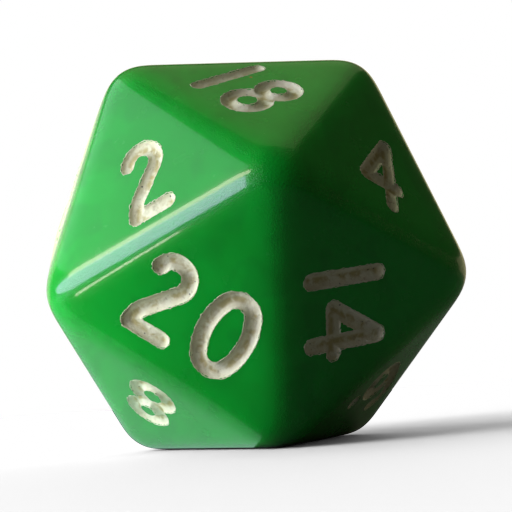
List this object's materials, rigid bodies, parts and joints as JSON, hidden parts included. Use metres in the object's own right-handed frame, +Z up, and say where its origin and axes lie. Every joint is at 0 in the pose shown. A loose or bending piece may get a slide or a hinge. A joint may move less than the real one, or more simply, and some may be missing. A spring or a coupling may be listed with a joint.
{
  "type": "polyhedral die",
  "caption": "Icosahedral die with softly rounded edges and engraved, paint-lined numerals, for tabletop games. It lies on any face.",
  "frame": {"origin": "middle of the face that the die stands on (the 16), in the plane of the table", "axes": "+Z up through the opposite face (the 5); -Y towards the vertex shared by the faces 20, 2, 18, 4 and 14; +X to the right when looking along +Y"},
  "size_m": [0.021, 0.0236, 0.02],
  "materials": {
    "body_plastic": "polished moulded plastic, green with faint lighter swirls",
    "numeral_paint": "dull off-white paint, a little soiled"
  },
  "bodies": {
    "root": {"die_body": "body_plastic", "paint_01": "numeral_paint", "paint_02": "numeral_paint", "paint_03": "numeral_paint", "paint_04": "numeral_paint", "paint_05": "numeral_paint", "paint_06": "numeral_paint", "paint_07": "numeral_paint", "paint_08": "numeral_paint", "paint_09": "numeral_paint", "paint_10": "numeral_paint", "paint_11": "numeral_paint", "paint_12": "numeral_paint", "paint_13": "numeral_paint", "paint_14": "numeral_paint", "paint_15": "numeral_paint", "paint_16": "numeral_paint", "paint_17": "numeral_paint", "paint_18": "numeral_paint", "paint_19": "numeral_paint", "paint_20": "numeral_paint"}
  },
  "joints": []
}
